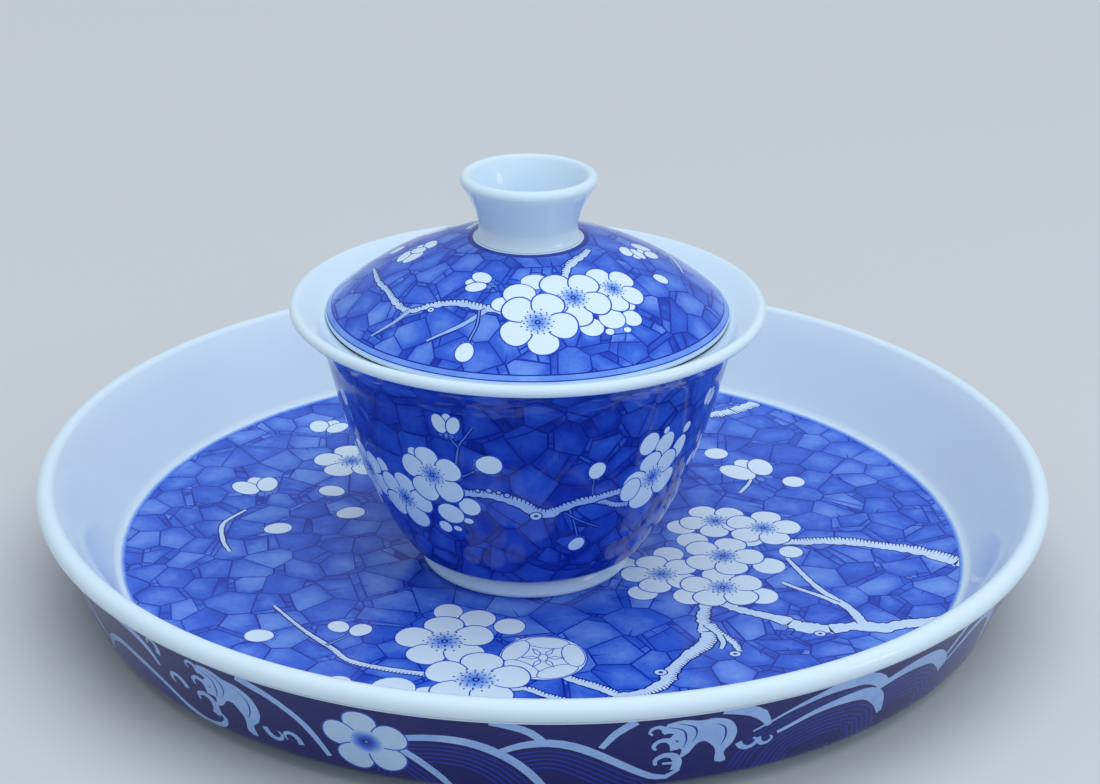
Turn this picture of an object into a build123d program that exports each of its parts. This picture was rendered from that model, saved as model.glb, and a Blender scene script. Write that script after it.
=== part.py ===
from build123d import *
import os
from math import cos, radians, sin, sqrt, tan

# A gaiwan: a lidded tea bowl on a wide dish, in glazed porcelain. Millimetres, +Z up.
# The origin is the centre of the dish's foot, on the surface that the set stands on.

# Dish
DISH_UNDERSIDE = 3.0
DISH_FLOOR = 7.5
DISH_CORNER_RADIUS = 95.6
DISH_CORNER_ROUND = 3.5
DISH_WALL_TOP = (102.9, 21.9)
DISH_LIP_CENTRE = (103.17, 24.8)
DISH_LIP_ROUND = 2.1
DISH_LIP_START = -70
DISH_INNER_LEAN = 58.0
DISH_FLOOR_ROUND = 4.0
DISH_FOOT_OUTER = 78.0
DISH_FOOT_INNER = 73.0
DISH_FOOT_FLARE = 0.8
DISH_FOOT_ROUND = 1.1

# Bowl, which stands loose on the dish's floor, a little off its centre
BOWL_PLACE = (-3.4, -8.6)
BOWL_FOOT_OUTER = 22.2
BOWL_FOOT_INNER = 18.2
BOWL_FOOT_HEIGHT = 3.6
BOWL_FOOT_TAPER = 0.9
BOWL_FOOT_ROUND = 1.0
BOWL_LIP_CENTRE = (46.8, 56.3)
BOWL_LIP_ROUND = 1.2
BOWL_LIP_START = -64
BOWL_LIP_END = 117
BOWL_SHOULDER_ANGLE = 14
BOWL_INSIDE_FLOOR = 6.8
BOWL_INSIDE_FLAT = 13.0
BOWL_OUTER_WALL = ((26.2, 7.1), (34.5, 24.0), (37.1, 32.0), (41.0, 47.0), (43.9, 52.6))
BOWL_INNER_WALL = ((40.48, 54.12), (39.45, 52.6), (36.8, 40.0), (32.2, 24.0), (28.4, 15.6))

# Lid, whose edge rests in the bowl's flare
LID_EDGE_HEIGHT = 55.0
LID_EDGE_OUTER = 40.7
LID_EDGE_ROUND = 1.1
LID_SHOULDER_ANGLE = 47
LID_CROWN_RADIUS = 60.5
LID_SEAT_RADIUS = 11.1
LID_INSIDE_CROWN = 67.5

# Knob, a flared open ring on the lid's crown
KNOB_OUTER_WALL = ((10.0, 3.7), (11.4, 7.7))
KNOB_THROAT = (9.0, 7.0)
KNOB_LIP_CENTRE = (12.5, 12.1)
KNOB_LIP_ROUND = 1.25
KNOB_LIP_START = -23
KNOB_LIP_END = 150
KNOB_FOOT_ANGLE = 115
KNOB_FOOT_OUTER = 10.7
KNOB_FOOT_INNER = 7.94
KNOB_STRAIGHT = 3.4


def on_circle(centre, radius, angle):
    """Point of a circle in the half section, with the angle in degrees from outwards."""
    return (centre[0] + radius * cos(radians(angle)), centre[1] + radius * sin(radians(angle)))


def heading(angle):
    """Unit direction in the half section."""
    return (cos(radians(angle)), sin(radians(angle)))


def rounded_end(centre, radius, start, end):
    """Arc of a circle in the half section between two angles."""
    middle = on_circle(centre, radius, (start + end) / 2)
    return ThreePointArc(on_circle(centre, radius, start), middle, on_circle(centre, radius, end))


def flowing(start, angle, *points):
    """Arcs from point to point, each leaving in the direction in which the last one arrives."""
    direction = heading(angle)
    arcs = Curve()
    for point in points:
        arc = TangentArc(start, point, tangent=direction)
        arcs += arc
        start = point
        direction = arc % 1
    return arcs


def turned(outline):
    """Solid of revolution from a closed half section drawn as (radius, height)."""
    return revolve(Plane.XZ * make_face(outline), Axis.Z)


def foot_ring(outer, inner, height, flare, round_radius):
    """Low ring, with rounded corners where it stands and a flat top that is luted to its body."""
    top_inner = (inner + flare, height)
    top_outer = (outer + flare, height)
    wall = FilletPolyline(top_inner, (inner, 0), (outer, 0), top_outer, radius=round_radius)
    return turned(wall + Line(top_outer, top_inner))


def dish_body():
    """Wide flat-floored dish with a leaning wall and a rolled lip."""
    lip_start = on_circle(DISH_LIP_CENTRE, DISH_LIP_ROUND, DISH_LIP_START)
    lip_end_angle = 90 + DISH_INNER_LEAN
    lip_end = on_circle(DISH_LIP_CENTRE, DISH_LIP_ROUND, lip_end_angle)
    drop = lip_end[1] - DISH_FLOOR
    floor_corner = (lip_end[0] - drop / tan(radians(DISH_INNER_LEAN)), DISH_FLOOR)
    corner = (DISH_CORNER_RADIUS, DISH_UNDERSIDE)
    outside = FilletPolyline((0, DISH_UNDERSIDE), corner, DISH_WALL_TOP, radius=DISH_CORNER_ROUND)
    lean = (DISH_WALL_TOP[0] - corner[0], DISH_WALL_TOP[1] - corner[1])
    under_lip = TangentArc(DISH_WALL_TOP, lip_start, tangent=lean)
    lip = rounded_end(DISH_LIP_CENTRE, DISH_LIP_ROUND, DISH_LIP_START, lip_end_angle)
    inside = FilletPolyline(lip_end, floor_corner, (0, DISH_FLOOR), radius=DISH_FLOOR_ROUND)
    return turned(outside + under_lip + lip + inside + Line((0, DISH_FLOOR), (0, DISH_UNDERSIDE)))


def bowl_body():
    """Deep bowl with a rounded shoulder over its foot and a wide flare at the mouth."""
    base = (BOWL_FOOT_OUTER - BOWL_FOOT_TAPER, BOWL_FOOT_HEIGHT)
    floor_edge = (BOWL_INSIDE_FLAT, BOWL_INSIDE_FLOOR)
    lip_out = on_circle(BOWL_LIP_CENTRE, BOWL_LIP_ROUND, BOWL_LIP_START)
    lip_in = on_circle(BOWL_LIP_CENTRE, BOWL_LIP_ROUND, BOWL_LIP_END)
    outside = flowing(base, BOWL_SHOULDER_ANGLE, *BOWL_OUTER_WALL, lip_out)
    lip = rounded_end(BOWL_LIP_CENTRE, BOWL_LIP_ROUND, BOWL_LIP_START, BOWL_LIP_END)
    inside = flowing(lip_in, BOWL_LIP_END + 90, *BOWL_INNER_WALL, floor_edge)
    closing = Polyline(floor_edge, (0, BOWL_INSIDE_FLOOR), (0, BOWL_FOOT_HEIGHT), base)
    return turned(outside + lip + inside + closing)


def cap_height(crown_radius, rim_radius, rim_height, radius):
    """Height at a radius of a spherical cap that passes through its rim."""
    centre = rim_height - sqrt(crown_radius ** 2 - rim_radius ** 2)
    return centre + sqrt(crown_radius ** 2 - radius ** 2)


def lid_dome():
    """Domed lid with a rounded edge and a flat seat for the knob on its crown."""
    edge_centre = (LID_EDGE_OUTER - LID_EDGE_ROUND, LID_EDGE_HEIGHT)
    shoulder = on_circle(edge_centre, LID_EDGE_ROUND, LID_SHOULDER_ANGLE)
    hollow = on_circle(edge_centre, LID_EDGE_ROUND, LID_SHOULDER_ANGLE - 180)
    half_way = (shoulder[0] + LID_SEAT_RADIUS) / 2
    seat_height = cap_height(LID_CROWN_RADIUS, *shoulder, LID_SEAT_RADIUS)
    middle = (half_way, cap_height(LID_CROWN_RADIUS, *shoulder, half_way))
    rise = LID_INSIDE_CROWN - hollow[1]
    hollow_radius = (hollow[0] ** 2 + rise ** 2) / (2 * rise)
    inside_middle = (hollow[0] / 2, cap_height(hollow_radius, *hollow, hollow[0] / 2))
    outside = ThreePointArc((LID_SEAT_RADIUS, seat_height), middle, shoulder)
    edge = rounded_end(edge_centre, LID_EDGE_ROUND, LID_SHOULDER_ANGLE, LID_SHOULDER_ANGLE - 180)
    inside = ThreePointArc(hollow, inside_middle, (0, LID_INSIDE_CROWN))
    crown = Polyline((0, LID_INSIDE_CROWN), (0, seat_height), (LID_SEAT_RADIUS, seat_height))
    return turned(outside + edge + inside + crown), seat_height


def lid_knob():
    """Flared open ring that is gripped to lift the lid, standing on its own foot height 0."""
    lip_out = on_circle(KNOB_LIP_CENTRE, KNOB_LIP_ROUND, KNOB_LIP_START)
    lip_in = on_circle(KNOB_LIP_CENTRE, KNOB_LIP_ROUND, KNOB_LIP_END)
    bore_top = (KNOB_FOOT_INNER, KNOB_STRAIGHT)
    outside = flowing((KNOB_FOOT_OUTER, 0), KNOB_FOOT_ANGLE, *KNOB_OUTER_WALL, lip_out)
    lip = rounded_end(KNOB_LIP_CENTRE, KNOB_LIP_ROUND, KNOB_LIP_START, KNOB_LIP_END)
    inside = flowing(lip_in, KNOB_LIP_END + 90, KNOB_THROAT, bore_top)
    foot = Polyline(bore_top, (KNOB_FOOT_INNER, 0), (KNOB_FOOT_OUTER, 0))
    return turned(outside + lip + inside + foot)


def model():
    """Every named piece at its place in the set."""
    on_dish = Pos(BOWL_PLACE[0], BOWL_PLACE[1], DISH_FLOOR)
    dome, seat_height = lid_dome()
    return {
        "dish_body": dish_body(),
        "dish_foot_ring": foot_ring(
            DISH_FOOT_OUTER, DISH_FOOT_INNER, DISH_UNDERSIDE, DISH_FOOT_FLARE, DISH_FOOT_ROUND
        ),
        "bowl_body": on_dish * bowl_body(),
        "bowl_foot_ring": on_dish * foot_ring(
            BOWL_FOOT_OUTER, BOWL_FOOT_INNER, BOWL_FOOT_HEIGHT, -BOWL_FOOT_TAPER, BOWL_FOOT_ROUND
        ),
        "lid_dome": on_dish * dome,
        "lid_knob": on_dish * Pos(0, 0, seat_height) * lid_knob(),
    }


os.makedirs("parts", exist_ok=True)
for node, solid in model().items():
    export_step(solid, f"parts/{node}.step")
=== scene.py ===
"""Looks of the gaiwan: turned porcelain, painted in cobalt under a clear glaze.

Lengths are in millimetres until a mesh is made. A painted face of a piece is a Patch, which lays the
turned surface out on a plane so that small shapes keep their form. Shapes are painted there one over
another, and become faces of the mesh with an attribute called pigment: 0 is bare glaze and 1 is the
darkest cobalt.
"""
import random
from math import atan2, ceil, cos, degrees, exp, hypot, pi, radians, sin, sqrt, tan

import bpy
import numpy as np
from mathutils import Matrix, Vector
from mathutils.geometry import delaunay_2d_cdt


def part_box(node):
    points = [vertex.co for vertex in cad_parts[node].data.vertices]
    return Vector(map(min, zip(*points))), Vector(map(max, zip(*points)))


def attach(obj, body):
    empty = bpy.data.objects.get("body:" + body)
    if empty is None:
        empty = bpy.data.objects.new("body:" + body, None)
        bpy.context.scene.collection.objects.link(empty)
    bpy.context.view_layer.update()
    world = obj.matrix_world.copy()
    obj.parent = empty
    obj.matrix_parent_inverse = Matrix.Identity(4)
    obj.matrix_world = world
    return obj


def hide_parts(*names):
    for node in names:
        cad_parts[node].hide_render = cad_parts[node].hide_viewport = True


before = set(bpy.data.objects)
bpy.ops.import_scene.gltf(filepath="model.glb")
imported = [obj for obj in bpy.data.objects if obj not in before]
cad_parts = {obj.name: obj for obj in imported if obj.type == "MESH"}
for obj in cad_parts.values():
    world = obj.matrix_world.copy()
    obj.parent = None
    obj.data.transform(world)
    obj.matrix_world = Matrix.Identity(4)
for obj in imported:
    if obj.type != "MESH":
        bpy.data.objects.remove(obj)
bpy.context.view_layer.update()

MM = 0.001

# Outlines, with the CAD model's driving dimensions. A lip or an edge is its circle's centre and radius.
DISH_UNDERSIDE = 3.0
DISH_FLOOR = 7.5
DISH_CORNER_RADIUS = 95.6
DISH_CORNER_ROUND = 3.5
DISH_WALL_TOP = (102.9, 21.9)
DISH_LIP = ((103.17, 24.8), 2.1)
DISH_LIP_START = -70
DISH_INNER_LEAN = 58.0
DISH_FLOOR_ROUND = 4.0
DISH_FOOT = (78.0, 73.0, 3.0, 0.8, 1.1)
BOWL_FOOT = (22.2, 18.2, 3.6, -0.9, 1.0)
BOWL_BASE = (21.3, 3.6)
BOWL_SHOULDER_ANGLE = 14
BOWL_OUTER_WALL = ((26.2, 7.1), (34.5, 24.0), (37.1, 32.0), (41.0, 47.0), (43.9, 52.6))
BOWL_LIP = ((46.8, 56.3), 1.2)
BOWL_LIP_ARC = (-64, 117)
BOWL_INNER_WALL = ((40.48, 54.12), (39.45, 52.6), (36.8, 40.0), (32.2, 24.0), (28.4, 15.6), (13.0, 6.8))
LID_EDGE = ((39.6, 55.0), 1.1)
LID_SHOULDER_ANGLE = 47
LID_CROWN_RADIUS = 60.5
LID_SEAT_RADIUS = 11.1
LID_INSIDE_CROWN = 67.5
KNOB_BORE = 7.94
KNOB_FOOT_RADIUS = 10.35
KNOB_OUTER_WALL = ((10.54, 0.34), (10.0, 3.7), (11.4, 7.7))
KNOB_LIP = ((12.5, 12.1), 1.25)
KNOB_LIP_ARC = (-23, 150)
KNOB_INNER_WALL = ((9.0, 7.0), (KNOB_BORE, 3.4))

# Where the painting starts and ends
WALL_PAINT_START = 93.3
FLOOR_PAINT_END = 90.6
FLOOR_FADE_START = 88.4
LID_PAINT_ANGLE = 10

# Fineness of the meshes
ARC_STEP = 3.0
RING_TURN = 8.0
RING_RUN = 5.0
LATTICE = 1.9
FLAT_LATTICE = 2.8
ROUND_DISH, ROUND_BOWL, ROUND_SMALL = 320, 240, 160
MARGIN = 0.03

# Cracked ice: shares of the sides with slivers and of the cells with a hairline crack, and how many
# places in a row may be too near to others before the ice counts as full
SLIVER_SHARE = 0.2
HAIRLINE_SHARE = 0.3
FULL_AFTER = 400

# Pigment
BARE = 0.0
WOOD = 0.07
HALO = 0.6
# On the dish's outer wall the sea is made darker and the foam is tinted pale blue instead of bare glaze. This
# is painted shade, over the sea's own deep cobalt.
SEA_AND_PAINTED_SHADE, SEA_LINE, FOAM_TINTED_AS_SHADE = 1.0, 0.78, 0.2


# Outlines

def on_circle(centre, radius, angle):
    """Point of a circle in the half section, with the angle in degrees from outwards."""
    return (centre[0] + radius * cos(radians(angle)), centre[1] + radius * sin(radians(angle)))


def arc_of(centre, radius, start, end):
    """Points of a circle's arc between two angles."""
    count = ceil(abs(end - start) / ARC_STEP)
    return [on_circle(centre, radius, start + (end - start) * i / count) for i in range(count + 1)]


def flowing(start, angle, *ends):
    """Arcs from point to point, each leaving in the direction in which the last one arrives."""
    path = [start]
    for end in ends:
        across, rise = end[0] - start[0], end[1] - start[1]
        turn = 2 * ((degrees(atan2(rise, across)) - angle + 180) % 360 - 180)
        if abs(turn) > 0.01:
            radius = hypot(across, rise) / (2 * sin(radians(turn) / 2))
            centre = on_circle(start, radius, angle + 90)
            path += arc_of(centre, radius, angle - 90, angle - 90 + turn)[1:]
        else:
            path.append(end)
        angle += turn
        start = end
    return path


def rounded(corners, radius):
    """Straight runs between corners, with an arc of one radius at each inner corner."""
    path = [corners[0]]
    for before, corner, after in zip(corners, corners[1:], corners[2:]):
        arriving = degrees(atan2(corner[1] - before[1], corner[0] - before[0]))
        leaving = degrees(atan2(after[1] - corner[1], after[0] - corner[0]))
        turn = (leaving - arriving + 180) % 360 - 180
        reach = radius * tan(radians(abs(turn)) / 2)
        path += flowing(on_circle(corner, -reach, arriving), arriving, on_circle(corner, reach, leaving))
    return path + [corners[-1]]


class Outline:
    """Half section of a turned piece, anticlockwise, with its surface normals."""

    def __init__(self, *paths):
        points = np.array([p for path in paths for p in path])
        steps = np.hypot(*np.diff(points, axis=0).T)
        points = points[np.append(True, steps > 1e-6)]
        self.radii, self.heights = points.T
        self.marks = np.append(0, np.cumsum(np.hypot(*np.diff(points, axis=0).T)))
        self.length = self.marks[-1]
        slope = np.gradient(points, self.marks, axis=0)
        slope /= np.hypot(*slope.T)[:, None]
        self.outward = np.stack([slope[:, 1], -slope[:, 0]])
        self.turned = np.unwrap(np.arctan2(slope[:, 1], slope[:, 0]))

    def radius(self, along):
        return np.interp(along, self.marks, self.radii)

    def height(self, along):
        return np.interp(along, self.marks, self.heights)

    def normal(self, along):
        across, up = (np.interp(along, self.marks, part) for part in self.outward)
        size = np.hypot(across, up)
        return across / size, up / size

    def nearest(self, radius, height):
        """Distance along the outline to its point nearest to a place in the half section."""
        fine = np.linspace(0, self.length, 20001)
        return fine[np.argmin(np.hypot(self.radius(fine) - radius, self.height(fine) - height))]

    def stops(self, start, end):
        """Distances at which rings are needed to follow the curve between two distances."""
        found = [start]
        fine = np.linspace(start, end, max(3, ceil((end - start) / 0.1)))
        turned = np.degrees(np.interp(fine, self.marks, self.turned))
        last = turned[0]
        for along, now in zip(fine, turned):
            if abs(now - last) >= RING_TURN or along - found[-1] >= RING_RUN:
                found.append(along)
                last = now
        if end - found[-1] < 0.15 and len(found) > 1:
            found.pop()
        return found + [end]


def dish_outline():
    lip_end = 90 + DISH_INNER_LEAN
    lip_in = on_circle(*DISH_LIP, lip_end)
    inner_corner = (lip_in[0] - (lip_in[1] - DISH_FLOOR) / tan(radians(DISH_INNER_LEAN)), DISH_FLOOR)
    corner = (DISH_CORNER_RADIUS, DISH_UNDERSIDE)
    lean = degrees(atan2(DISH_WALL_TOP[1] - corner[1], DISH_WALL_TOP[0] - corner[0]))
    return Outline(
        rounded([(0, DISH_UNDERSIDE), corner, DISH_WALL_TOP], DISH_CORNER_ROUND),
        flowing(DISH_WALL_TOP, lean, on_circle(*DISH_LIP, DISH_LIP_START)),
        arc_of(*DISH_LIP, DISH_LIP_START, lip_end),
        rounded([lip_in, inner_corner, (0, DISH_FLOOR)], DISH_FLOOR_ROUND),
    )


def lipped(base, angle, outer_wall, lip, lip_arc, inner_wall):
    """Wall that rises from its base to a round lip, and comes down inside."""
    start, end = lip_arc
    return [
        *flowing(base, angle, *outer_wall, on_circle(*lip, start)),
        *arc_of(*lip, start, end),
        *flowing(on_circle(*lip, end), end + 90, *inner_wall),
    ]


def bowl_outline():
    wall = lipped(BOWL_BASE, BOWL_SHOULDER_ANGLE, BOWL_OUTER_WALL, BOWL_LIP, BOWL_LIP_ARC, BOWL_INNER_WALL)
    return Outline([(0, wall[0][1])], wall, [(0, wall[-1][1])])


def knob_outline():
    """Open ring of the knob, above the lid's seat, as a closed loop."""
    foot = (KNOB_FOOT_RADIUS, 0)
    wall = lipped(foot, 0, KNOB_OUTER_WALL, KNOB_LIP, KNOB_LIP_ARC, KNOB_INNER_WALL)
    return Outline([(KNOB_BORE, 0)], wall, [(KNOB_BORE, 0)])


def cap_arc(radius, inner, outer, top):
    """Arc of a spherical cap about the axis, from one radius to another, with its crown at a height."""
    start, end = (degrees(np.arccos(x / radius)) for x in (inner, outer))
    return arc_of((0, top - radius), radius, start, end)


def lid_outline():
    shoulder = on_circle(*LID_EDGE, LID_SHOULDER_ANGLE)
    hollow = on_circle(*LID_EDGE, LID_SHOULDER_ANGLE - 180)
    rise = LID_INSIDE_CROWN - hollow[1]
    hollow_radius = (hollow[0] ** 2 + rise ** 2) / (2 * rise)
    top = shoulder[1] + LID_CROWN_RADIUS - sqrt(LID_CROWN_RADIUS ** 2 - shoulder[0] ** 2)
    dome = cap_arc(LID_CROWN_RADIUS, shoulder[0], LID_SEAT_RADIUS, top)
    return Outline(
        cap_arc(hollow_radius, 0, hollow[0], LID_INSIDE_CROWN),
        arc_of(*LID_EDGE, LID_SHOULDER_ANGLE - 180, LID_SHOULDER_ANGLE),
        dome,
        [(0, dome[-1][1])],
    )


def foot_outline(outer, inner, height, flare, round_radius):
    """Foot ring with rounded corners where it stands, as a closed loop."""
    top_inner, top_outer = (inner + flare, height), (outer + flare, height)
    return Outline(rounded([top_inner, (inner, 0), (outer, 0), top_outer], round_radius), [top_inner])


# Patches and painting

def unit(angle):
    """Direction on the plane at an angle in radians."""
    return np.array((cos(angle), sin(angle)))


class Spot:
    """A place on a patch with its own directions, where a small motif is drawn in millimetres."""

    def __init__(self, origin, right, up):
        self.origin, self.right, self.up = (np.array(v, float) for v in (origin, right, up))
        self.scale = hypot(*self.right)

    def __call__(self, x, y):
        return self.origin + x * self.right + y * self.up

    def turned(self, angle):
        c, s = unit(radians(angle))
        return Spot(self.origin, c * self.right + s * self.up, c * self.up - s * self.right)

    def moved(self, x, y):
        return Spot(self(x, y), self.right, self.up)


class Patch:
    """Part of a turned surface, laid out on a plane round its axis without bending small shapes.

    A place is an angle in degrees and a distance up the surface from the patch's inner end, or,
    on a flat patch, x and y.
    """

    def __init__(self, outline, inner, outer, flat=False):
        self.outline, self.inner, self.outer, self.flat = outline, inner, outer, flat
        self.length = abs(outer - inner)
        self.t = np.linspace(0, self.length, 4001)
        self.radius = radius = outline.radius(self.along(self.t))
        start = int(np.argmax(radius >= 1.0))
        growth = np.diff(self.t[start:]) * 2 / (radius[start + 1:] + radius[start:-1])
        self.rho = np.append(radius[:start], radius[start] * np.exp(np.append(0, np.cumsum(growth))))

    def along(self, t):
        return self.inner + (self.outer - self.inner) * np.asarray(t) / self.length

    def rho_at(self, t):
        return np.interp(t, self.t, self.rho)

    def t_at(self, rho):
        return np.interp(rho, self.rho, self.t)

    def scale_at(self, rho):
        """Size on the plane of one millimetre of surface at a distance from the axis on the plane."""
        return rho / max(float(np.interp(rho, self.rho, self.radius)), 1e-6) if rho > 1 else 1.0

    def point(self, a, b):
        if self.flat:
            return np.array((a, b), float)
        beyond = b - min(max(b, 0.0), self.length)
        return self.rho_at(b) * exp(beyond / self.radius[-1 if beyond > 0 else 0]) * unit(radians(a))

    def spot(self, a, b, lean):
        """Place with up towards the patch's outer edge, or along +Y on a flat patch, then leaned."""
        if self.flat:
            return Spot((a, b), (1, 0), (0, 1)).turned(lean)
        up = self.scale_at(self.rho_at(b)) * unit(radians(a))
        return Spot(self.point(a, b), (-up[1], up[0]), up).turned(lean)


def signed_area(polygon):
    return sum(p[0] * q[1] - q[0] * p[1] for p, q in zip(polygon, polygon[1:] + polygon[:1])) / 2


class Painting:
    """Shapes painted one over another on a patch, each with its pigment.

    Its turn, in degrees, is added to the angle of every place that is painted next.
    """

    def __init__(self, patch, count, ground, seed=0):
        self.patch, self.turn, self.rng = patch, 0, random.Random(seed)
        self.points, self.shapes, self.tones, self.reach = [], [], [], []
        self.rim = [unit(2 * pi * i / count) for i in range(count)]
        self.shape([patch.rho[-1] * way for way in self.rim], ground)
        self.hollow = patch.rho[0] > 1
        if self.hollow:
            self.shape([patch.rho[0] * way for way in self.rim], ground)
        self.lattice()

    def lattice(self):
        """Loose points all over the patch, so that its faces follow the curve and carry soft shades."""
        pitch = FLAT_LATTICE if self.patch.flat else LATTICE
        rings = ceil(self.patch.length / pitch)
        for i in range(1, rings):
            rho = self.patch.rho_at(self.patch.length * i / rings)
            count = max(6, round(2 * pi * rho / self.patch.scale_at(rho) / pitch))
            self.points += [tuple(rho * unit(2 * pi * (j + 0.5 * (i % 2)) / count)) for j in range(count)]

    def shape(self, polygon, tone):
        """Paints a simple polygon. Its tone is a number, or a function of a point."""
        polygon = [(float(x), float(y)) for x, y in polygon]
        if len(polygon) < 3 or abs(signed_area(polygon)) < 1e-4:
            return
        if signed_area(polygon) < 0:
            polygon.reverse()
        if not self.patch.flat:
            polygon = self.divided(polygon)
        start = len(self.points)
        self.points += polygon
        self.shapes.append(list(range(start, len(self.points))))
        self.tones.append(tone)
        xs, ys = zip(*polygon)
        self.reach.append((min(xs) - 0.01, max(xs) + 0.01, min(ys) - 0.01, max(ys) + 0.01))

    def divided(self, polygon):
        """A polygon whose long sides have points between their ends, so that they follow the curve."""
        step = LATTICE * self.patch.scale_at(hypot(*polygon[0]))
        path = []
        for (x, y), (to_x, to_y) in zip(polygon, polygon[1:] + polygon[:1]):
            count = max(1, ceil(hypot(to_x - x, to_y - y) / step))
            path += [(x + (to_x - x) * i / count, y + (to_y - y) * i / count) for i in range(count)]
        return path

    def spot(self, a, b, lean=0):
        return self.patch.spot(a + self.turn, b, lean)

    def add(self, motif, *places, **more):
        """Paints a motif at places, each an angle, a distance, a lean and the motif's size."""
        for a, b, lean, *size in places:
            motif(self, self.spot(a, b, lean), *size, **more)

    def traced(self, course, step, start=0):
        """Points of a smooth curve through places, and the plane's scale at each of them.

        The points are a step apart, in millimetres at the place with the number start.
        """
        places = [self.patch.point(a + self.turn, b) for a, b in course]
        path = smooth(places, step * self.patch.scale_at(hypot(*places[start])))
        return path, np.array([self.patch.scale_at(hypot(*p)) for p in path])

    def band(self, start, end, tone):
        """Paints a band all round the patch between two distances."""
        low, high = self.patch.rho_at(start), self.patch.rho_at(end)
        for one, other in zip(self.rim, self.rim[1:] + self.rim[:1]):
            self.shape([low * one, high * one, high * other, low * other], tone)

    def top_tone(self, shapes, corners):
        """The tone of the shape painted last of those that cover a triangle."""
        x, y = (sum(c) / 3 for c in zip(*corners))
        for shape in sorted(shapes, reverse=True):
            low_x, high_x, low_y, high_y = self.reach[shape]
            if low_x <= x <= high_x and low_y <= y <= high_y:
                return self.tones[shape]
        return self.tones[0]

    def triangles(self):
        """Points on the plane, triangles inside the patch, and three pigments for each triangle."""
        inputs = [Vector(p) for p in self.points]
        points, _, faces, _, _, covers = delaunay_2d_cdt(inputs, [], self.shapes, 0, 1e-5, True)
        points = [(p.x, p.y) for p in points]
        kept, tones = [], []
        for face, shapes in zip(faces, covers):
            if 0 not in shapes or (self.hollow and 1 in shapes):
                continue
            corners = [points[i] for i in face]
            tone = self.top_tone(shapes, corners)
            kept.append(face)
            tones.append([min(max(tone(p) if callable(tone) else tone, 0.0), 1.0) for p in corners])
        return points, kept, tones


# Turned meshes

def rows_in(box, start, end, columns=1, rows=1):
    """Lays a band of the surface out in a box, as equal arcs in columns and rows."""
    left, low, right, high = box
    arc = 2 * pi / (columns * rows)

    def place(along, angle, middle):
        turn = np.minimum(np.floor(middle / arc), columns * rows - 1)
        across = MARGIN + (1 - 2 * MARGIN) * (angle / arc - turn)
        up = MARGIN + (1 - 2 * MARGIN) * (along - start) / (end - start)
        return (left + (right - left) * (turn % columns + across) / columns,
                low + (high - low) * (turn // columns + up) / rows)

    return place


def disc_in(box, hub, rim):
    """Lays a cap of the surface out in a square box as a disc."""
    left, low, right, high = box
    radius = (0.5 - MARGIN / 4) * (right - left)

    def place(along, angle, middle):
        away = radius * (along - hub) / (rim - hub)
        return (left + right) / 2 + away * np.cos(angle), (low + high) / 2 + away * np.sin(angle)

    return place


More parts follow.
